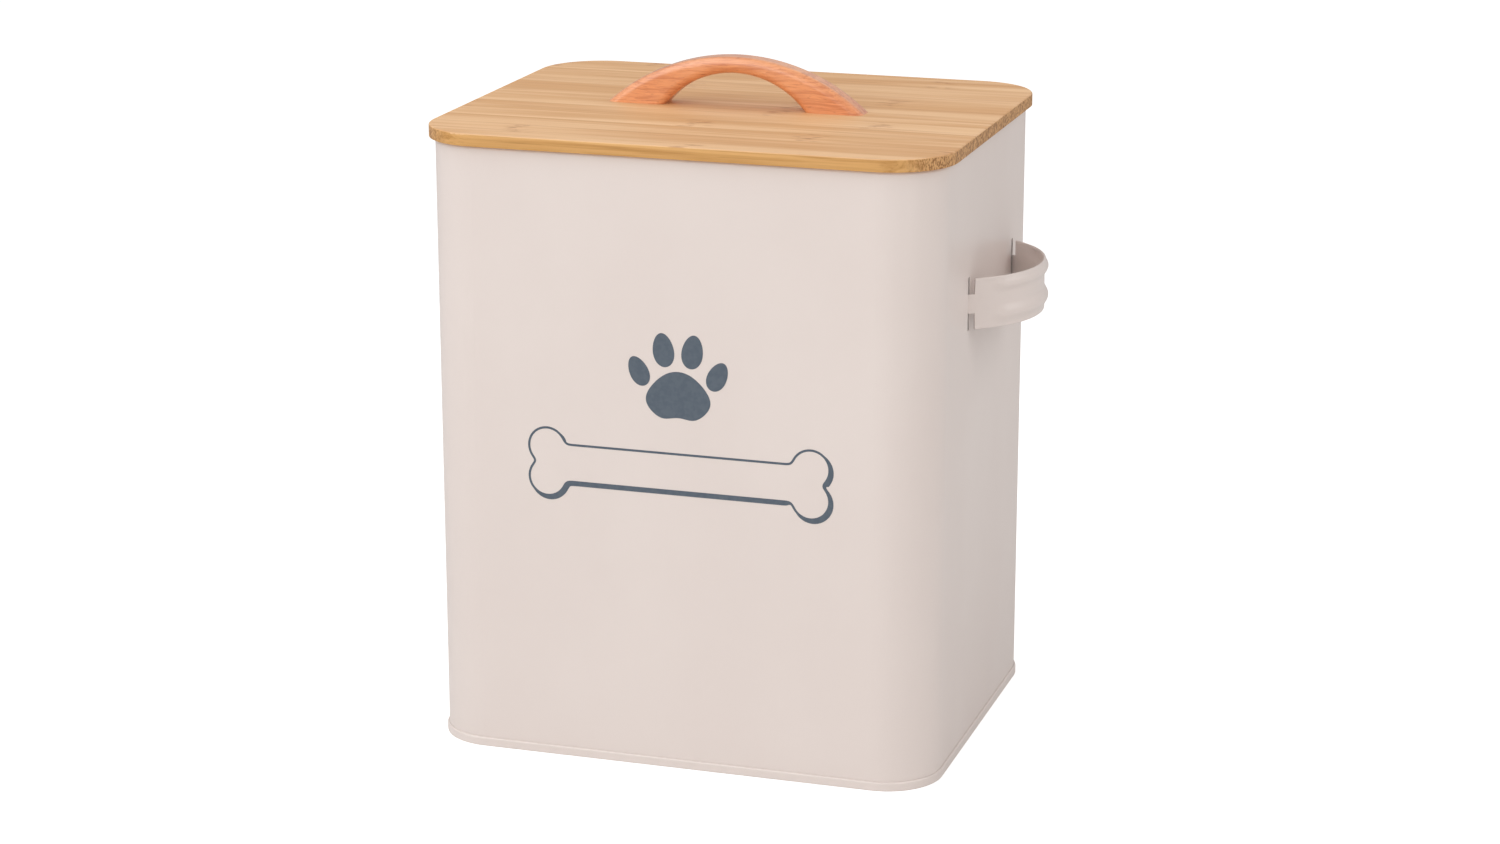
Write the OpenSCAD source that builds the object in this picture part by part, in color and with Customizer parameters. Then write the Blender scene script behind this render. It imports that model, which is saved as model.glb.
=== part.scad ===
// Pet food bin: a seamed sheet steel box with two strap handles, and a bamboo lid that lifts off.
// The origin is at the middle of the bin's footprint, on the surface that it stands on. +Z is up, -Y is the front.

/* [Bin body] */
// Width of the steel body, across its strap handles
body_w = 252; // [220:1:300]
// Depth of the steel body, front to back
body_d = 203; // [180:1:240]
// Height of the steel body, without its lid
body_h = 300; // [240:1:360]
// Outer radius of the four upright corners
corner_r = 27; // [22:0.5:40]
// Thickness of the steel sheet
sheet = 0.6; // [0.5:0.1:0.8]
// Diameter of the rim that is rolled inwards at the mouth
curl_d = 3.6; // [3:0.1:5]

/* [Base seam] */
// Height of the seam that joins the base pan to the body
seam_h = 4.5; // [3.5:0.1:7]
// How far the seam stands out from the body
seam_proud = 1.0; // [0.8:0.1:2]
// Height of the base pan's floor above the surface that the bin stands on
floor_z = 4; // [2.5:0.1:6]

/* [Strap handles] */
// Distance between the two slots that a strap's ends go through
strap_span = 88; // [80:1:96]
// How far a strap's middle stands out from the body
strap_rise = 25; // [22:0.5:28]
// Width of a strap, up and down
strap_h = 25; // [24:0.5:34]
// Thickness of a strap's sheet
strap_t = 0.8; // [0.6:0.1:1]
// How far a strap's two ribs stand out from its flat waist
rib_rise = 1.8; // [1.5:0.1:2.5]
// Width of the tongue at each end of a strap, which goes through the slot
tongue_h = 10; // [8:1:14]
// Distance from the wall to the square shoulders where the tongue begins
shoulder_gap = 2.5; // [2:0.5:4]
// Height of a strap's middle above the surface that the bin stands on
strap_z = 224.5; // [180:0.5:250]
// How far a strap's middle is behind the middle of the body
strap_back = 10; // [0:1:15]

/* [Lid] */
// How far the lid board reaches past the body on each side
lid_overhang = 3.5; // [2:0.5:6]
// Thickness of the lid board
board_t = 6; // [5:0.5:10]
// Corner radius of the lid board
board_r = 32; // [28:0.5:40]
// Thickness of the plug board that drops into the mouth
plug_t = 8; // [7:0.5:12]

/* [Lid handle] */
// Length of the arched handle's footprint
handle_l = 130; // [124:1:150]
// Height of the arch above the lid board
handle_h = 25; // [23:0.5:28]
// Depth of the handle, front to back
handle_d = 14; // [12:0.5:18]
// Width of the finger gap at the board
grip_gap_w = 71; // [64:1:74]
// Height of the finger gap at its middle
grip_gap_h = 17; // [14:0.5:17]
// Distance between the handle's two screws
screw_pitch = 96; // [92:1:98]

/* [Hidden] */
$fn = 96;
e = 0.01;                // overlap that keeps a cut or a join clean
slip = 0.1;              // gap between sheets that are folded together

// Lock seam up the middle of the back, where the two ends of the wall's sheet meet
lock_w = 7;
lock_t = 1;
lock_groove = 0.25;

// Strap handle
strap_r = (pow(strap_span / 2, 2) + pow(strap_rise, 2)) / (2 * strap_rise);
strap_axis = body_w / 2 + strap_rise - strap_r;
tab_x = body_w / 2 - sheet - slip - strap_t / 2;
strap_turn = acos((tab_x - strap_axis) / strap_r);
rib_end = strap_turn - 14; // angle where the ribs run out and the flat ends begin
rib_chord = 9;
rib_r = (pow(rib_chord / 2, 2) + pow(rib_rise, 2)) / (2 * rib_rise);
rib_z = strap_h / 2 - rib_chord / 2 - 0.6;
tab_l = 12;
slot_w = 3;
slot_h = strap_h + 1;

// Lid
lid_rest_gap = 0.5;      // the board's underside clears the rolled rim by this much
board_z = body_h + lid_rest_gap;
board_w = body_w + 2 * lid_overhang;
board_d = body_d + 2 * lid_overhang;
board_edge_r = 0.9;
mouth_w = body_w - 2 * curl_d;
mouth_d = body_d - 2 * curl_d;
mouth_r = corner_r - curl_d;
plug_gap = 2;            // between the plug and the rolled rim
plug_w = mouth_w - 2 * plug_gap;
plug_d = mouth_d - 2 * plug_gap;
plug_r = mouth_r - plug_gap;
groove_h = 3;
groove_depth = 2.6;
groove_z = board_z - 4.6;
seal_gap = 0.3;          // between the relaxed seal and the rolled rim

// Arched handle: two arcs with their own centres, so that the arch is thickest at its feet
handle_z = board_z + board_t;
arch_out_r = (pow(handle_l / 2, 2) + pow(handle_h, 2)) / (2 * handle_h);
arch_in_r = (pow(grip_gap_w / 2, 2) + pow(grip_gap_h, 2)) / (2 * grip_gap_h);
handle_edge_r = 3.8;

// M4 fixing from under the lid: screw, washer and a threaded insert in each foot
screw_r = 2;
screw_l = 18;
head_r = 4;
head_h = 2.6;
washer_r = 5;
washer_t = 0.8;
counterbore_r = 5.5;
counterbore_depth = 4;
clearance_r = 2.25;
insert_r = 3;
insert_l = 8;
seat_z = board_z - plug_t + counterbore_depth;

// A rectangle with round corners, from true arcs
module round_rect(w, d, r) {
    square([w - 2 * r, d], center = true);
    square([w, d - 2 * r], center = true);
    for (x = [-1, 1], y = [-1, 1])
        translate([x * (w / 2 - r), y * (d / 2 - r)]) circle(r);
}

// Sweeps a profile round a rectangle with round corners. The profile's x is the distance outwards
// from the rectangle's edge, and its y is the height.
module round_rect_loop(w, d, r) {
    for (side = [0, 1]) {
        rotate([0, 0, 180 * side]) {
            translate([w / 2, 0, 0]) rotate([90, 0, 0])
                linear_extrude(d - 2 * r, center = true) children();
            rotate([0, 0, 90]) translate([d / 2, 0, 0]) rotate([90, 0, 0])
                linear_extrude(w - 2 * r, center = true) children();
            translate([w / 2 - r, d / 2 - r, 0])
                rotate_extrude(angle = 90) translate([r, 0]) children();
            translate([r - w / 2, d / 2 - r, 0]) rotate([0, 0, 90])
                rotate_extrude(angle = 90) translate([r, 0]) children();
        }
    }
}

// ---- Steel body ----

// The wall's sheet, with its top edge rolled inwards into an open curl
module wall_profile() {
    curl_r = curl_d / 2;
    wall_foot = sheet + 2 * slip;
    translate([-sheet, wall_foot]) square([sheet, body_h - curl_r - wall_foot]);
    translate([-curl_r, body_h - curl_r]) difference() {
        circle(curl_r);
        circle(curl_r - sheet);
        translate([-curl_r * 0.2, -curl_r - e]) square([curl_r * 1.2 + e, curl_r + e]);
    }
}

module strap_slots() {
    for (x = [-1, 1], y = [-1, 1])
        translate([x * (body_w / 2 - sheet / 2), strap_back + y * strap_span / 2, strap_z])
            cube([4 * sheet, slot_w, slot_h], center = true);
}

module body_shell() {
    color("linen") difference() {
        union() {
            round_rect_loop(body_w, body_d, corner_r) wall_profile();
            translate([-lock_w / 2, body_d / 2 - sheet - lock_t, floor_z + 3])
                cube([lock_w, lock_t + sheet / 2, body_h - curl_d - floor_z - 4]);
        }
        strap_slots();
        translate([lock_w / 2 - lock_groove, body_d / 2 - lock_groove, seam_h + 1])
            cube([2 * lock_groove, 1, body_h - curl_d - seam_h - 1]);
    }
}

// The pan's edge folds under the wall and up its outside, and rounds over against it
module seam_profile() {
    inner = -2 * sheet - slip;
    hook = seam_proud - slip;
    translate([inner, 0]) square([sheet, floor_z + sheet]);
    translate([inner, 0]) square([seam_proud - hook / 2 - inner, sheet]);
    translate([slip, hook / 2]) square([hook, seam_h - 1.5 * hook]);
    translate([slip, seam_h - hook]) intersection() {
        circle(hook);
        square(hook);
    }
    translate([slip + hook / 2, hook / 2]) circle(hook / 2);
    translate([slip, 0]) square([hook / 2, hook / 2]);
}

module base_pan() {
    inset = 2 * sheet + slip;
    color("linen") {
        round_rect_loop(body_w, body_d, corner_r) seam_profile();
        translate([0, 0, floor_z]) linear_extrude(sheet)
            round_rect(body_w - 2 * inset + sheet, body_d - 2 * inset + sheet, corner_r - inset + sheet / 2);
    }
}

// ---- Strap handles ----

// Sweeps a profile round the strap's arc, up to an angle either side of its middle
module strap_arc(reach) {
    rotate([0, 0, -reach]) rotate_extrude(angle = 2 * reach) translate([strap_r, 0]) children();
}

// One rib's section, with a flat back that stays inside the strap's own sheet
module rib_profile(r) {
    intersection() {
        translate([rib_rise - rib_r, 0]) circle(r);
        translate([0, -rib_r]) square(2 * rib_r);
    }
}

// The tab at the end of a strap, bent over behind the wall
module strap_tab() {
    lap = 1;
    reach = strap_r * sin(strap_turn);
    translate([tab_x - strap_t / 2, reach - lap, -strap_h / 2]) cube([strap_t, tab_l + lap, strap_h]);
}

// What is cut away beside the wall, above the tongues
module above_tongues() {
    depth = 5;
    length = 2 * strap_span;
    translate([body_w / 2 - depth, -length / 2, tongue_h / 2]) cube([depth + shoulder_gap, length, strap_h]);
}

// A strap of sheet with two ribs pressed outwards along it, and a narrower tongue at each end
module strap_handle() {
    translate([0, strap_back, strap_z]) difference() {
        union() {
            translate([strap_axis, 0, 0]) difference() {
                union() {
                    strap_arc(strap_turn) square([strap_t, strap_h], center = true);
                    for (z = [-rib_z, rib_z])
                        strap_arc(rib_end) translate([0, z]) rib_profile(rib_r + strap_t / 2);
                }
                for (z = [-rib_z, rib_z])
                    strap_arc(rib_end - 1) translate([rib_rise - rib_r, z]) circle(rib_r - strap_t / 2);
            }
            for (side = [0, 1]) mirror([0, side, 0]) strap_tab();
        }
        for (side = [0, 1]) mirror([0, 0, side]) above_tongues();
    }
}

module strap_handle_right() {
    color("linen") strap_handle();
}

module strap_handle_left() {
    color("linen") mirror([1, 0, 0]) strap_handle();
}

// ---- Lid ----

module at_screws() {
    for (x = [-1, 1]) translate([x * screw_pitch / 2, 0, 0]) children();
}

// The board's edge strip, with a small round along its upper arris
module board_edge_profile() {
    strip = 2 * board_edge_r;
    translate([-strip, 0]) square([strip, board_t - board_edge_r]);
    translate([-strip, 0]) square([strip - board_edge_r, board_t]);
    translate([-board_edge_r, board_t - board_edge_r]) circle(board_edge_r);
}

module lid_board() {
    strip = 2 * board_edge_r;
    color("burlywood") difference() {
        translate([0, 0, board_z]) {
            round_rect_loop(board_w, board_d, board_r) board_edge_profile();
            linear_extrude(board_t)
                round_rect(board_w - 2 * strip, board_d - 2 * strip, board_r - strip);
        }
        at_screws() translate([0, 0, board_z - 1]) cylinder(board_t + 2, clearance_r, clearance_r);
    }
}

module lid_plug() {
    plug_z = board_z - plug_t;
    color("tan") difference() {
        translate([0, 0, plug_z]) linear_extrude(plug_t) round_rect(plug_w, plug_d, plug_r);
        translate([0, 0, groove_z]) round_rect_loop(plug_w, plug_d, plug_r)
            translate([-groove_depth, 0]) square([groove_depth + 1, groove_h]);
        at_screws() {
            translate([0, 0, plug_z - 1]) cylinder(plug_t + 2, clearance_r, clearance_r);
            translate([0, 0, plug_z - 1]) cylinder(counterbore_depth + 1, counterbore_r, counterbore_r);
        }
    }
}

// A soft ring that sits in the plug's groove, with two lips that wipe the rolled rim
module lid_seal() {
    reach = plug_gap - seal_gap;
    root = groove_depth - slip;
    lip_t = 0.9;
    color("gainsboro") translate([0, 0, groove_z]) round_rect_loop(plug_w, plug_d, plug_r) {
        translate([-root, slip]) square([root + 0.5, groove_h - 2 * slip]);
        for (y = [slip, groove_h - slip - lip_t]) translate([0, y]) {
            square([reach - lip_t / 2, lip_t]);
            translate([reach - lip_t / 2, lip_t / 2]) circle(lip_t / 2);
        }
    }
}

// ---- Lid handle ----

// Turns a profile about the arch's own level axis, which lies this far below the crown
module about_arch_axis(radius, crown) {
    translate([0, 0, crown - radius]) rotate([90, 0, 0]) rotate_extrude() children();
}

// The outer arc, with its two long edges rounded
module arch_outside() {
    flat = handle_d - 2 * handle_edge_r;
    about_arch_axis(arch_out_r, handle_h) {
        translate([0, -handle_d / 2]) square([arch_out_r - handle_edge_r, handle_d]);
        translate([0, -flat / 2]) square([arch_out_r, flat]);
        for (y = [-1, 1]) translate([arch_out_r - handle_edge_r, y * flat / 2]) circle(handle_edge_r);
    }
}

// What is cut away under the arch, with a flare that rounds the inner edges
module arch_inside() {
    flat = handle_d - 2 * handle_edge_r;
    about_arch_axis(arch_in_r, grip_gap_h) {
        translate([0, -handle_d]) square([arch_in_r, 2 * handle_d]);
        for (side = [0, 1]) mirror([0, side]) difference() {
            translate([arch_in_r - e, flat / 2]) square([handle_edge_r + e, handle_edge_r + 1]);
            translate([arch_in_r + handle_edge_r, flat / 2]) circle(handle_edge_r);
        }
    }
}

module lid_handle() {
    color("peru") translate([0, 0, handle_z]) difference() {
        intersection() {
            arch_outside();
            translate([-handle_l / 2, -handle_d, 0]) cube([handle_l, 2 * handle_d, handle_h + 1]);
        }
        arch_inside();
        at_screws() translate([0, 0, -1]) cylinder(insert_l + 1.5, insert_r + slip / 2, insert_r + slip / 2);
    }
}

module handle_inserts() {
    color("gold") at_screws() translate([0, 0, handle_z + slip]) difference() {
        cylinder(insert_l, insert_r, insert_r);
        translate([0, 0, -1]) cylinder(insert_l + 2, screw_r + slip / 2, screw_r + slip / 2);
    }
}

module handle_washers() {
    color("silver") at_screws() translate([0, 0, seat_z - washer_t]) difference() {
        cylinder(washer_t, washer_r, washer_r);
        translate([0, 0, -1]) cylinder(washer_t + 2, clearance_r, clearance_r);
    }
}

// A pan head screw with a cross recess
module screw() {
    recess_w = 1;
    recess_l = 4.4;
    recess_depth = 1.6;
    difference() {
        union() {
            cylinder(screw_l, screw_r, screw_r);
            translate([0, 0, -head_h]) cylinder(head_h, head_r - 0.6, head_r);
        }
        for (a = [0, 90]) rotate([0, 0, a])
            translate([-recess_l / 2, -recess_w / 2, -head_h - e]) cube([recess_l, recess_w, recess_depth]);
    }
}

module handle_screws() {
    color("silver") at_screws() translate([0, 0, seat_z - washer_t]) screw();
}

body_shell();
base_pan();
strap_handle_right();
strap_handle_left();
lid_board();
lid_plug();
lid_seal();
lid_handle();
handle_inserts();
handle_screws();
handle_washers();
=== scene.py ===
"""The looks of the pet food bin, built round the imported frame: materials, straps, print and studio."""
import math

import bmesh
import bpy
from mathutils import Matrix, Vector


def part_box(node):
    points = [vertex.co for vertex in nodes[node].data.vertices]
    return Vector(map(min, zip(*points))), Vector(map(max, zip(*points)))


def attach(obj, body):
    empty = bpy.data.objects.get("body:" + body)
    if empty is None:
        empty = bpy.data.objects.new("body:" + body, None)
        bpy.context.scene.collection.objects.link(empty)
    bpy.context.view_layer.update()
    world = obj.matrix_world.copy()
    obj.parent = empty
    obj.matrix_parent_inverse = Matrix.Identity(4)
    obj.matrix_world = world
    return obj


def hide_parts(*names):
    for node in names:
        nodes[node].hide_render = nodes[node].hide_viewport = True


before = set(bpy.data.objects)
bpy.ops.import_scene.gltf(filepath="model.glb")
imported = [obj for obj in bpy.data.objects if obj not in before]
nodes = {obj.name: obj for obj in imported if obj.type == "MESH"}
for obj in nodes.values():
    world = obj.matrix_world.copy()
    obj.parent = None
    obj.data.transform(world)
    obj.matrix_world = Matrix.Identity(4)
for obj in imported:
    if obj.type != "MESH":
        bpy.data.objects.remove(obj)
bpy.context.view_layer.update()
MM = 0.001
shell_low, shell_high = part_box("body_shell")


# ---- Camera and studio ----

def srgb(red, green, blue):
    """A screen colour, 0 to 255, as the linear colour that the shaders take."""
    def linear(value):
        value /= 255
        return value / 12.92 if value <= 0.04045 else ((value + 0.055) / 1.055) ** 2.4
    return (linear(red), linear(green), linear(blue), 1.0)


def look_at(obj, place, target):
    obj.location = place
    obj.rotation_euler = (Vector(target) - Vector(place)).to_track_quat("-Z", "Y").to_euler()


def around(azimuth, elevation, distance, middle):
    """A point at that bearing from the middle: azimuth 0 is in front, at -Y, and 90 is at +X."""
    a, e = math.radians(azimuth), math.radians(elevation)
    bearing = Vector((math.sin(a) * math.cos(e), -math.cos(a) * math.cos(e), math.sin(e)))
    return Vector(middle) + distance * bearing


def add_camera():
    """The camera looks at the bin's middle, a few millimetres off it to frame the lid and the strap."""
    azimuth, elevation, distance = 17.74, 15.66, 1.733
    aim_right, aim_back, aim_down = 5.8 * MM, 1.9 * MM, 3.5 * MM
    data = bpy.data.cameras.new("camera")
    data.lens = 83.2
    data.sensor_width = 36
    data.clip_end = 50
    camera = bpy.data.objects.new("camera", data)
    bpy.context.scene.collection.objects.link(camera)
    middle = Vector((0, 0, shell_high.z / 2))
    aim = middle + Vector((aim_right, aim_back, -aim_down))
    look_at(camera, around(azimuth, elevation, distance, middle), aim)
    bpy.context.scene.camera = camera


def add_area(name, place, target, size, power, colour=(1, 1, 1)):
    """A soft box: its size is its width and height in metres, and its power is in watts."""
    data = bpy.data.lights.new(name, "AREA")
    data.shape = "RECTANGLE"
    data.size, data.size_y = size
    data.energy = power
    data.color = colour
    light = bpy.data.objects.new(name, data)
    bpy.context.scene.collection.objects.link(light)
    look_at(light, place, target)


def add_studio():
    """Soft boxes round the bin: the key from the left, a low fill in front, and small ones on the right."""
    middle = Vector((0, 0, 0.16))
    daylight = (1.0, 0.985, 0.965)
    warm = (1.0, 0.925, 0.86)
    pale = (1.0, 0.985, 0.98)
    right_edge = (0.12, -0.05, 0.2)
    right_wall = (0.13, 0, 0.24)
    beside = (0.85, 0.15, 0.85)
    add_area("key", around(-30, 32, 2.0, middle), middle, size=(1.7, 1.2), power=12.6, colour=daylight)
    add_area("front_fill", around(5, 4, 2.6, middle), middle, size=(2.4, 1.4), power=5.0)
    add_area("top", around(-62, 60, 1.35, middle), middle, size=(1.1, 0.9), power=5.2)
    add_area("rear", around(175, 38, 2.2, middle), middle, size=(2.0, 1.2), power=1.6)
    add_area("corner", around(50, 14, 1.5, middle), right_edge, size=(0.5, 0.9), power=2.3, colour=warm)
    add_area("side_top", beside, right_wall, size=(0.4, 0.7), power=1.9, colour=pale)
    add_world()


def add_world():
    """A white backdrop for the camera, and a dimmer, even light for everything else."""
    room_light = 0.5
    world = bpy.data.worlds.new("studio")
    world.use_nodes = True
    tree = world.node_tree
    light = tree.nodes["Background"]
    light.inputs["Color"].default_value = (1, 0.985, 0.975, 1)
    light.inputs["Strength"].default_value = room_light
    backdrop = tree.nodes.new("ShaderNodeBackground")
    backdrop.inputs["Color"].default_value = (1, 1, 1, 1)
    seen = tree.nodes.new("ShaderNodeLightPath")
    choose = tree.nodes.new("ShaderNodeMixShader")
    tree.links.new(seen.outputs["Is Camera Ray"], choose.inputs[0])
    tree.links.new(light.outputs[0], choose.inputs[1])
    tree.links.new(backdrop.outputs[0], choose.inputs[2])
    tree.links.new(choose.outputs[0], tree.nodes["World Output"].inputs["Surface"])
    bpy.context.scene.world = world
    bpy.context.scene.view_settings.view_transform = "Standard"


def add_floor():
    """Pale paper, with a glow that only the camera sees, so that it stays even out to the backdrop."""
    half = 20
    camera_glow = 0.62
    corners = [(-half, -half, 0), (half, -half, 0), (half, half, 0), (-half, half, 0)]
    mesh = bpy.data.meshes.new("floor")
    mesh.from_pydata(corners, [], [(0, 1, 2, 3)])
    floor = bpy.data.objects.new("floor", mesh)
    bpy.context.scene.collection.objects.link(floor)
    material = bpy.data.materials.new("floor_paper")
    material.use_nodes = True
    shader = material.node_tree.nodes["Principled BSDF"]
    shader.inputs["Base Color"].default_value = (0.78, 0.775, 0.77, 1)
    shader.inputs["Roughness"].default_value = 0.95
    shader.inputs["Emission Color"].default_value = (1, 1, 1, 1)
    glow = material.node_tree.nodes.new("ShaderNodeMath")
    glow.operation = "MULTIPLY"
    glow.inputs[1].default_value = camera_glow
    seen = material.node_tree.nodes.new("ShaderNodeLightPath")
    material.node_tree.links.new(seen.outputs["Is Camera Ray"], glow.inputs[0])
    material.node_tree.links.new(glow.outputs["Value"], shader.inputs["Emission Strength"])
    mesh.materials.append(material)


# ---- Shader building ----

class Nodes:
    """A material's node tree, with short calls for the nodes that the materials below share."""

    def __init__(self, name):
        self.material = bpy.data.materials.new(name)
        self.material.use_nodes = True
        self.tree = self.material.node_tree
        self.shader = self.tree.nodes["Principled BSDF"]
        self.place = self.add("ShaderNodeTexCoord").outputs["Object"]

    def add(self, kind, **settings):
        node = self.tree.nodes.new(kind)
        for key, value in settings.items():
            setattr(node, key, value)
        return node

    def feed(self, socket, value):
        """Links an output to a socket, or sets a plain value on it."""
        if isinstance(value, bpy.types.NodeSocket):
            self.tree.links.new(value, socket)
        elif value is not None:
            socket.default_value = value

    def stretched(self, x, y, z, source=None):
        """Object coordinates in metres, multiplied by so many cycles per metre on each axis."""
        node = self.add("ShaderNodeMapping")
        self.feed(node.inputs["Vector"], source or self.place)
        node.inputs["Scale"].default_value = (x, y, z)
        return node.outputs["Vector"]

    def noise(self, vector, scale=1.0, detail=2.0, roughness=0.5, distortion=0.0):
        node = self.add("ShaderNodeTexNoise")
        self.feed(node.inputs["Vector"], vector)
        node.inputs["Scale"].default_value = scale
        node.inputs["Detail"].default_value = detail
        node.inputs["Roughness"].default_value = roughness
        node.inputs["Distortion"].default_value = distortion
        return node.outputs["Fac"]

    def math(self, operation, one, two=None, three=None, clamp=False):
        node = self.add("ShaderNodeMath", operation=operation, use_clamp=clamp)
        for socket, value in zip(node.inputs, (one, two, three)):
            self.feed(socket, value)
        return node.outputs["Value"]

    def between(self, value, low, high, to_low=0.0, to_high=1.0):
        """Maps low..high smoothly to to_low..to_high, and holds it at the ends."""
        node = self.add("ShaderNodeMapRange", interpolation_type="SMOOTHSTEP")
        for name, number in (("Value", value), ("From Min", low), ("From Max", high),
                             ("To Min", to_low), ("To Max", to_high)):
            self.feed(node.inputs[name], number)
        return node.outputs["Result"]

    def mix(self, share, one, two, blend="MIX"):
        node = self.add("ShaderNodeMix", data_type="RGBA", blend_type=blend)
        self.feed(node.inputs["Factor"], share)
        self.feed(node.inputs["A"], one)
        self.feed(node.inputs["B"], two)
        return next(s for s in node.outputs if s.name == "Result" and s.type == "RGBA")

    def over(self, colour, second, mask, strength):
        """Lays a second colour over the first, where the mask is and as strongly as its strength says."""
        return self.mix(self.math("MULTIPLY", mask, strength), colour, second)

    def centred(self, value, reach):
        """Turns 0..1 into a shift of up to half the reach either way."""
        return self.math("MULTIPLY", self.math("SUBTRACT", value, 0.5), reach)

    def split(self, vector):
        node = self.add("ShaderNodeSeparateXYZ")
        self.feed(node.inputs["Vector"], vector)
        return node.outputs

    def join(self, x, y, z):
        node = self.add("ShaderNodeCombineXYZ")
        for socket, value in zip(node.inputs, (x, y, z)):
            self.feed(socket, value)
        return node.outputs["Vector"]

    def bump(self, height, distance, strength=1.0, normal=None):
        node = self.add("ShaderNodeBump")
        self.feed(node.inputs["Height"], height)
        node.inputs["Distance"].default_value = distance
        node.inputs["Strength"].default_value = strength
        self.feed(node.inputs["Normal"], normal)
        return node.outputs["Normal"]

    def normal_parts(self):
        """The surface's own normal, as x, y and z, in the piece's frame."""
        turned = self.add("ShaderNodeTexCoord").outputs["Normal"]
        return self.split(turned)

    def finish(self, colour, roughness, normal=None, metallic=0.0, **constants):
        self.feed(self.shader.inputs["Base Color"], colour)
        self.feed(self.shader.inputs["Roughness"], roughness)
        self.feed(self.shader.inputs["Normal"], normal)
        self.shader.inputs["Metallic"].default_value = metallic
        for name, value in constants.items():
            self.shader.inputs[name.replace("_", " ")].default_value = value
        return self.material


# ---- Materials ----

def cream_paint():
    """Satin powder coat: fine orange peel, a faint warm mottle and fine pale specks."""
    n = Nodes("cream_powder_coat")
    cream, shade, speck = srgb(228, 217, 212), srgb(226, 214.5, 209.5), srgb(240, 232, 224)
    mottle = n.noise(n.stretched(14, 14, 9), detail=3)
    colour = n.mix(n.between(mottle, 0.35, 0.65), cream, shade)
    peel = n.noise(n.place, scale=900, detail=2)
    fine = n.noise(n.place, scale=2600, detail=1)
    colour = n.over(colour, speck, n.between(fine, 0.3, 0.7), 0.10)
    height = n.math("ADD", peel, n.math("MULTIPLY", fine, 0.35))
    roughness = n.between(mottle, 0.3, 0.7, 0.30, 0.35)
    return n.finish(colour, roughness, n.bump(height, 0.04 * MM, 0.3), Specular_IOR_Level=0.55)


def culm_marks(n, along, x):
    """The culm's nodes: a short ragged bar across a strip, once in every pitch of its length."""
    pitch = 0.21
    ripple = n.math("MULTIPLY", n.noise(n.stretched(60, 420, 420, along), detail=2), 0.10)
    phase = n.math("FRACT", n.math("ADD", n.math("DIVIDE", x, pitch), ripple))
    gap = n.math("ABSOLUTE", n.math("SUBTRACT", phase, 0.5))
    bar = n.math("SUBTRACT", 1.0, n.between(gap, 0.006, 0.045))
    ragged = n.between(n.noise(n.stretched(120, 340, 340, along), detail=3), 0.45, 0.7)
    return n.math("MULTIPLY", bar, ragged)


def bamboo_side(n, streak, fibre, end):
    """The board's sawn sides: streaked along X, and speckled end grain on the sides that face along X."""
    pale, dark, line = srgb(222, 172, 108), srgb(192, 140, 76), srgb(150, 100, 48)
    end_pale, end_dark, end_line = srgb(214, 166, 112), srgb(146, 100, 58), srgb(132, 90, 50)
    side = n.mix(n.between(streak, 0.3, 0.7), pale, dark)
    side = n.over(side, line, n.between(fibre, 0.5, 0.75), 0.5)
    dots = n.noise(n.stretched(1300, 1300, 700), detail=2)
    bars = n.noise(n.stretched(900, 900, 60), detail=1)
    ends = n.mix(n.between(dots, 0.42, 0.62), end_pale, end_dark)
    ends = n.over(ends, end_line, n.between(bars, 0.5, 0.7), 0.4)
    return n.mix(end, side, ends)


def bamboo():
    """Laminated bamboo: strips along X, long fibres, node marks, darker sides and speckled end grain."""
    n = Nodes("laminated_bamboo")
    light, mid, deep = srgb(236, 194, 148), srgb(216, 166, 114), srgb(192, 136, 86)
    strip_tint, fibre_brown = srgb(212, 162, 112), srgb(184, 130, 82)
    mark_brown, glue_line = srgb(160, 100, 60), srgb(170, 120, 76)
    strip_w = 19 * MM
    at = n.split(n.place)
    wander = n.centred(n.noise(n.stretched(7, 20, 1)), 1.2 * MM)
    across = n.math("DIVIDE", n.math("ADD", at["Y"], wander), strip_w)
    tone = n.add("ShaderNodeTexWhiteNoise", noise_dimensions="1D")
    n.feed(tone.inputs["W"], n.math("FLOOR", across))
    tone = tone.outputs["Value"]
    shifted = n.math("ADD", at["X"], n.math("MULTIPLY", tone, 3.0))
    along = n.join(shifted, at["Y"], at["Z"])
    broad = n.noise(n.stretched(3, 46, 46, along), detail=3, distortion=0.7)
    fibre = n.noise(n.stretched(22, 1100, 1100, along), detail=4, roughness=0.65)
    streak = n.noise(n.stretched(7, 240, 240, along), detail=3, distortion=0.8)
    colour = n.mix(n.between(broad, 0.38, 0.62), light, mid)
    colour = n.over(colour, strip_tint, tone, 0.26)
    colour = n.over(colour, deep, n.between(streak, 0.48, 0.74), 0.5)
    colour = n.over(colour, fibre_brown, n.between(fibre, 0.5, 0.78), 0.42)
    colour = n.over(colour, mark_brown, culm_marks(n, along, shifted), 0.6)
    seam = n.math("ABSOLUTE", n.math("SUBTRACT", n.math("FRACT", across), 0.5))
    seam = n.between(seam, 0.482, 0.5)
    colour = n.over(colour, glue_line, seam, 0.35)
    facing = n.normal_parts()
    side = n.between(n.math("ABSOLUTE", facing["Z"]), 0.75, 0.35)
    end = n.between(n.math("ABSOLUTE", facing["X"]), 0.35, 0.85)
    colour = n.mix(side, colour, bamboo_side(n, streak, fibre, end))
    height = n.math("SUBTRACT", fibre, n.math("MULTIPLY", seam, 0.8))
    roughness = n.between(fibre, 0.3, 0.7, 0.46, 0.58)
    return n.finish(colour, roughness, n.bump(height, 0.06 * MM, 0.5), Specular_IOR_Level=0.4)


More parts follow.
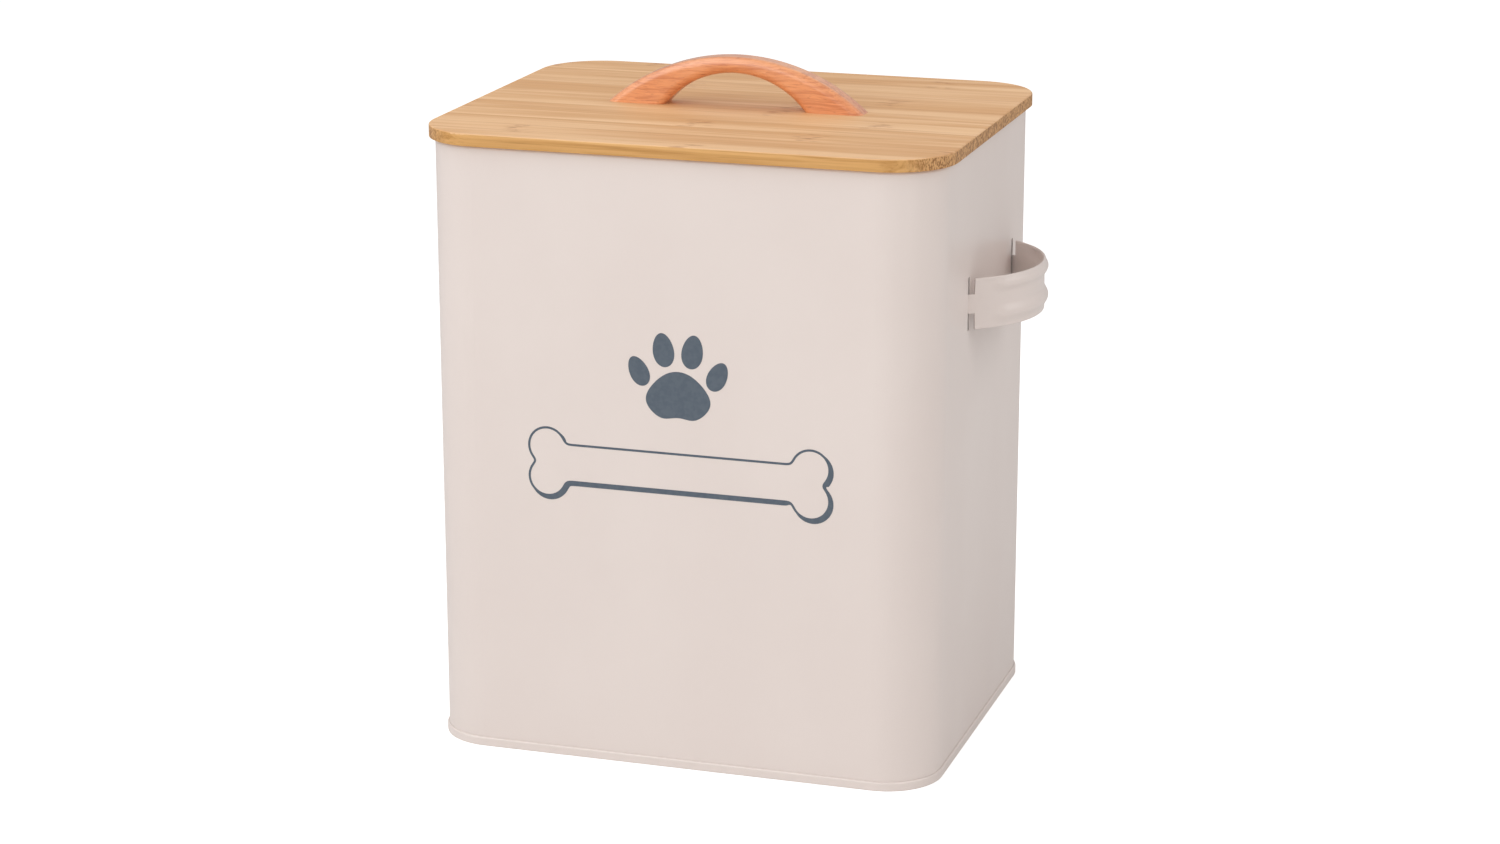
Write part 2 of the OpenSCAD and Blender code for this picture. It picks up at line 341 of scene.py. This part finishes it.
def beech():
    """Steamed beech under satin lacquer: fine wavy grain along the handle, with short ray flecks."""
    n = Nodes("lacquered_beech")
    light, mid = srgb(242, 168, 116), srgb(228, 148, 96)
    grain_brown, fine_brown, fleck_brown = srgb(190, 104, 62), srgb(186, 102, 62), srgb(150, 74, 40)
    at = n.split(n.place)
    sway = n.noise(n.stretched(14, 30, 40), detail=3)
    level = n.math("ADD", at["Z"], n.centred(sway, 9 * MM))
    wavy = n.join(at["X"], at["Y"], level)
    grain = n.noise(n.stretched(42, 330, 720, wavy), detail=4, roughness=0.6, distortion=0.35)
    fine = n.noise(n.stretched(110, 900, 2100, wavy), detail=3, roughness=0.6)
    fleck = n.between(n.noise(n.stretched(300, 900, 2600, wavy), detail=1), 0.64, 0.74)
    colour = n.mix(n.between(sway, 0.3, 0.7), light, mid)
    colour = n.over(colour, grain_brown, n.between(grain, 0.42, 0.66), 0.55)
    colour = n.over(colour, fine_brown, n.between(fine, 0.48, 0.74), 0.34)
    colour = n.over(colour, fleck_brown, fleck, 0.35)
    height = n.math("SUBTRACT", n.math("MULTIPLY", fine, 0.5), n.math("MULTIPLY", fleck, 0.6))
    roughness = n.between(fine, 0.3, 0.7, 0.36, 0.44)
    return n.finish(colour, roughness, n.bump(height, 0.03 * MM, 0.35), Coat_Weight=1.0, Coat_Roughness=0.25)


def print_ink():
    """Screen-printed slate ink: matte, with a slightly uneven film."""
    n = Nodes("slate_ink")
    film = n.noise(n.place, scale=420, detail=3)
    colour = n.mix(n.between(film, 0.35, 0.65), srgb(80, 92, 105), srgb(88, 99, 111))
    return n.finish(colour, n.between(film, 0.3, 0.7, 0.5, 0.6), n.bump(film, 0.02 * MM, 0.4))


def silicone():
    """Milky silicone with a moulded matte skin."""
    n = Nodes("seal_silicone")
    skin = n.noise(n.place, scale=1400, detail=2)
    colour = n.mix(n.between(skin, 0.3, 0.7), srgb(216, 214, 208), srgb(204, 202, 196))
    normal = n.bump(skin, 0.02 * MM, 0.4)
    return n.finish(colour, n.between(skin, 0.3, 0.7, 0.48, 0.6), normal, Subsurface_Weight=0.15)


def brushed(name, light, dark, roughness):
    """A turned or plated metal with fine marks round its upright axis."""
    n = Nodes(name)
    marks = n.noise(n.stretched(500, 500, 9000), detail=3)
    blotch = n.noise(n.place, scale=300, detail=2)
    colour = n.mix(n.between(blotch, 0.35, 0.65), light, dark)
    rough = n.between(marks, 0.3, 0.7, roughness, roughness + 0.14)
    return n.finish(colour, rough, n.bump(marks, 0.02 * MM, 0.5), metallic=1.0)


# ---- Pieces ----

def add_piece(name, points, faces, material, smooth=True):
    """A mesh object with its faces all turned outwards."""
    mesh = bpy.data.meshes.new(name)
    mesh.from_pydata([tuple(p) for p in points], [], faces)
    mesh.validate()
    work = bmesh.new()
    work.from_mesh(mesh)
    bmesh.ops.recalc_face_normals(work, faces=work.faces)
    work.to_mesh(mesh)
    work.free()
    mesh.polygons.foreach_set("use_smooth", [smooth] * len(mesh.polygons))
    mesh.materials.append(material)
    piece = bpy.data.objects.new(name, mesh)
    bpy.context.scene.collection.objects.link(piece)
    return piece


def smoothstep(value, low, high):
    """0 up to low, 1 from high on, and a smooth rise between them."""
    t = min(1.0, max(0.0, (value - low) / (high - low)))
    return t * t * (3 - 2 * t)


def hump(value, middle, reach):
    """A smooth rise to 1 at the middle, and 0 beyond its reach."""
    away = abs(value - middle) / reach
    return 0.5 * (1 + math.cos(math.pi * away)) if away < 1 else 0.0


# Strap handles: pressed sheet with two ribs, and a narrow tongue at each end that goes through the wall.
# The span, rise, sheet and tongue are those of the frame's own strap handles.
strap_t = 0.8 * MM
strap_span = 88 * MM
strap_rise = 25 * MM
strap_tab = 10 * MM
tongue_h = 10 * MM
shoulder_gap = 2.5 * MM
bend_r = 1.2 * MM
sheet = 0.6 * MM
tab_gap = 0.1 * MM
hem_r = 0.62 * MM
hem_reach = 1.5 * MM
upper_rib_rise, upper_rib_down, upper_rib_reach = 1.8 * MM, 4.0 * MM, 4.4 * MM
lower_rib_rise, lower_rib_up, lower_rib_reach = 2.0 * MM, 6.6 * MM, 5.4 * MM
rib_fade_start, rib_fade_end = 17 * MM, 8 * MM


def strap_route():
    """Half of the strap's middle line in plan, from its crown to the end of its tab.

    Each stop has the place, the outward normal and the distance from the crown. That distance at the
    shoulders comes second.
    """
    radius = (strap_span ** 2 / 4 + strap_rise ** 2) / (2 * strap_rise)
    wall = shell_high.x
    axis = Vector((wall + strap_rise - radius, 0, 0))
    tab_x = wall - sheet - tab_gap - strap_t / 2
    shoulder = math.acos((wall + shoulder_gap - axis.x) / radius)
    turn = math.acos((tab_x + bend_r - axis.x) / (radius + bend_r))
    steps = 70
    angles = [shoulder * i / steps for i in range(steps + 1)]
    angles += [shoulder + (turn - shoulder) * share for share in (0.04, 0.3, 0.65, 1.0)]
    stops = []
    for a in angles:
        normal = Vector((math.cos(a), math.sin(a), 0))
        stops.append((axis + radius * normal, normal, radius * a))
    bend = axis + (radius + bend_r) * Vector((math.cos(turn), math.sin(turn), 0))
    bend_steps = 6
    for i in range(1, bend_steps + 1):
        a = turn * (1 - i / bend_steps)
        normal = Vector((math.cos(a), math.sin(a), 0))
        stops.append((bend - bend_r * normal, normal, radius * turn + bend_r * (turn - a)))
    far = stops[-1][2]
    tab_start = 2 * MM
    for reach in (tab_start, strap_tab):
        stops.append((bend + Vector((-bend_r, reach, 0)), Vector((1, 0, 0)), far + reach))
    return stops, radius * shoulder


def strap_section(height, along, shoulder):
    """The strap's section at a distance from the crown: points (offset outwards, height above its middle)."""
    rows = 44
    full = along <= shoulder
    half = (height if full else tongue_h) / 2
    fade = 1 - smoothstep(along, shoulder - rib_fade_start, shoulder - rib_fade_end)
    middles = []
    for i in range(rows + 1):
        z = -half + hem_r + (2 * half - 2 * hem_r) * i / rows
        upper = upper_rib_rise * hump(z, half - upper_rib_down, upper_rib_reach)
        lower = lower_rib_rise * hump(z, lower_rib_up - half, lower_rib_reach)
        hem = max(hump(z, half - hem_r, hem_reach), hump(z, hem_r - half, hem_reach))
        middles.append((fade * (upper + lower), z, strap_t / 2 + (hem_r - strap_t / 2) * hem * full))
    outer = [(m + t, z) for m, z, t in middles]
    inner = [(m - t, z) for m, z, t in reversed(middles)]
    round_steps = 6
    top, bottom = middles[-1], middles[0]

    def edge(m, z, t, sign):
        turns = [math.pi * k / round_steps for k in range(1, round_steps)]
        return [(m + sign * t * math.cos(a), z + sign * t * math.sin(a)) for a in turns]

    return outer + edge(*top, 1) + inner + edge(*bottom, -1)


def make_strap(node, side, material):
    """side is 1 for the right-hand strap and -1 for the left-hand one."""
    low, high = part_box(node)
    middle_y = (low.y + high.y) / 2
    middle_z = (low.z + high.z) / 2
    height = high.z - low.z
    half, shoulder = strap_route()
    back = [(Vector((p.x, -p.y, 0)), Vector((n.x, -n.y, 0)), d) for p, n, d in reversed(half[1:])]
    stops = back + half
    points, faces = [], []
    for place, normal, along in stops:
        for out, z in strap_section(height, along, shoulder):
            p = place + out * normal
            points.append((side * p.x, middle_y + p.y, middle_z + z))
    ring = len(points) // len(stops)
    for i in range(len(stops) - 1):
        for j in range(ring):
            k = (j + 1) % ring
            faces.append((i * ring + j, (i + 1) * ring + j, (i + 1) * ring + k, i * ring + k))
    faces += [tuple(range(ring)), tuple(range(len(points) - ring, len(points)))]
    strap = add_piece(node.replace("handle", "pressed"), points, faces, material)
    keep_creases(strap)
    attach(strap, "bin")
    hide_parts(node)


def keep_creases(piece):
    """Keeps edges sharp where the surface turns sharply, such as at a strap's shoulders."""
    sharp = math.radians(40)
    work = bmesh.new()
    work.from_mesh(piece.data)
    for edge in work.edges:
        if edge.is_manifold and edge.calc_face_angle(0.0) > sharp:
            edge.smooth = False
    work.to_mesh(piece.data)
    work.free()


# Print on the front: a paw over an outlined bone, each a thin film of ink
ink_gap = 0.01 * MM
ink_t = 0.08 * MM


def film(name, outlines, material):
    """Thin solids on the front face. An outline is an outer loop of (x, z) and an inner one, or None."""
    back = shell_low.y - ink_gap
    front = back - ink_t
    points, faces = [], []
    for outer, inner in outlines:
        count, base = len(outer), len(points)
        loops = [outer] if inner is None else [outer, inner]
        for y in (front, back):
            for loop in loops:
                points += [(x, y, z) for x, z in loop]
        depth = count * len(loops)
        for i in range(count):
            j = (i + 1) % count
            faces.append((base + i, base + i + depth, base + j + depth, base + j))
            if inner is not None:
                a, b = base + count + i, base + count + j
                faces.append((a, b, b + depth, a + depth))
                faces.append((base + i, base + j, b, a))
                faces.append((base + i + depth, a + depth, b + depth, base + j + depth))
        if inner is None:
            faces.append(tuple(range(base, base + count)))
            faces.append(tuple(range(base + 2 * count - 1, base + count - 1, -1)))
    piece = add_piece(name, points, faces, material, smooth=False)
    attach(piece, "bin")


def egg(x, z, wide, tall, tilt, taper=0.0, count=56):
    """A tilted ellipse that narrows towards its top."""
    loop = []
    for i in range(count):
        a = 2 * math.pi * i / count
        u = wide / 2 * math.cos(a) * (1 - taper * math.sin(a))
        v = tall / 2 * math.sin(a)
        c, s = math.cos(math.radians(tilt)), math.sin(math.radians(tilt))
        loop.append((x + u * c - v * s, z + u * s + v * c))
    return loop


def paw_pad(x, z, wide, tall, count=120):
    """The paw's main pad: a narrower round top, wide low sides and two lobes with a hollow between them."""
    loop = []
    for i in range(count):
        a = 2 * math.pi * i / count
        c, u = math.cos(a), math.sin(a)
        width = 1 - 0.24 * smoothstep(u, -0.35, 1.0)
        hollow = 0.20 * hump(c, 0, 0.62) * (u < 0)
        loop.append((x + wide / 2 * width * c, z + tall / 2 * u * (1 - hollow)))
    return softened(evenly(loop, count), 2)


def add_paw(material):
    """A pad with two inner toes above it and two outer toes beside it."""
    x, z = 3 * MM, 186 * MM
    pad_w, pad_h = 33 * MM, 25 * MM
    inner = dict(wide=10.5 * MM, tall=16.5 * MM, taper=0.12)
    outer = dict(wide=9.5 * MM, tall=15 * MM, taper=0.12)
    shapes = [paw_pad(x, z, pad_w, pad_h)]
    for side in (-1, 1):
        shapes.append(egg(x + side * 7.2 * MM, z + 22.5 * MM, tilt=-8 * side, **inner))
        shapes.append(egg(x + side * 19.5 * MM, z + 11.5 * MM, tilt=-26 * side, **outer))
    film("print_paw", [(loop, None) for loop in shapes], material)


def evenly(loop, count):
    """The same closed outline with its points the same distance apart."""
    ends = [0.0]
    for one, two in zip(loop, loop[1:] + loop[:1]):
        ends.append(ends[-1] + math.dist(one, two))
    out, i = [], 0
    for k in range(count):
        want = ends[-1] * k / count
        while ends[i + 1] < want:
            i += 1
        share = (want - ends[i]) / (ends[i + 1] - ends[i])
        one, two = loop[i], loop[(i + 1) % len(loop)]
        out.append((one[0] + share * (two[0] - one[0]), one[1] + share * (two[1] - one[1])))
    return out


def softened(loop, passes):
    """The same closed outline with its corners eased: each pass moves a point towards its neighbours."""
    for _ in range(passes):
        loop = [((a[0] + 2 * b[0] + c[0]) / 4, (a[1] + 2 * b[1] + c[1]) / 4)
                for a, b, c in zip(loop[-1:] + loop[:-1], loop, loop[1:] + loop[:1])]
    return loop


def bone_loop(x, z, long, tall):
    """A bone's outline, anticlockwise: two round lobes at each end of a straight shaft."""
    lobe_r = 0.275 * tall
    lobe_z = tall / 2 - lobe_r
    lobe_x = long / 2 - lobe_r
    shaft = 0.27 * tall
    start = -math.asin(min(1, lobe_z / lobe_r))
    stop = math.pi - math.asin((shaft - lobe_z) / lobe_r)
    steps = 24
    arc = []
    for i in range(steps + 1):
        a = start + (stop - start) * i / steps
        arc.append((lobe_x + lobe_r * math.cos(a), lobe_z + lobe_r * math.sin(a)))
    upper = arc + [(-u, v) for u, v in reversed(arc)]
    loop = upper + [(-u, -v) for u, v in upper]
    return [(x + u, z + v) for u, v in softened(evenly(loop, 360), 5)]


def stroke(loop, width, shade):
    """A line along an outline, thickened outwards to the lower right like a printed shadow."""
    shadow_way = Vector((0.7, -0.72))
    outer, inner = [], []
    for a, b, c in zip(loop[-1:] + loop[:-1], loop, loop[1:] + loop[:1]):
        along = Vector((c[0] - a[0], c[1] - a[1])).normalized()
        normal = Vector((along.y, -along.x))
        towards = max(0.0, normal.dot(shadow_way))
        out = width / 2 + shade * towards
        outer.append((b[0] + out * normal.x, b[1] + out * normal.y))
        inner.append((b[0] - width / 2 * normal.x, b[1] - width / 2 * normal.y))
    return outer, inner


def add_bone(material):
    """The bone's outline, as one closed line that is thicker on its shadow side."""
    x, z = 2.5 * MM, 149 * MM
    long, tall = 150 * MM, 34 * MM
    line_w, shadow_w = 1.1 * MM, 2.0 * MM
    line = stroke(bone_loop(x, z, long, tall), line_w, shadow_w)
    film("print_bone", [line], material)


# ---- Finish ----

def clothe(node, material):
    """Gives a CAD node its material."""
    slots = nodes[node].data.materials
    slots.clear()
    slots.append(material)


add_camera()
add_studio()
add_floor()

paint = cream_paint()
bamboo_wood = bamboo()
ink = print_ink()
for node in ("body_shell", "base_pan"):
    clothe(node, paint)
make_strap("strap_handle_right", 1, paint)
make_strap("strap_handle_left", -1, paint)
add_paw(ink)
add_bone(ink)
for node in ("lid_board", "lid_plug"):
    clothe(node, bamboo_wood)
clothe("lid_handle", beech())
clothe("lid_seal", silicone())
clothe("handle_inserts", brushed("turned_brass", srgb(214, 178, 104), srgb(190, 150, 80), 0.28))
zinc = brushed("zinc_plate", srgb(196, 200, 204), srgb(176, 180, 184), 0.3)
for node in ("handle_screws", "handle_washers"):
    clothe(node, zinc)
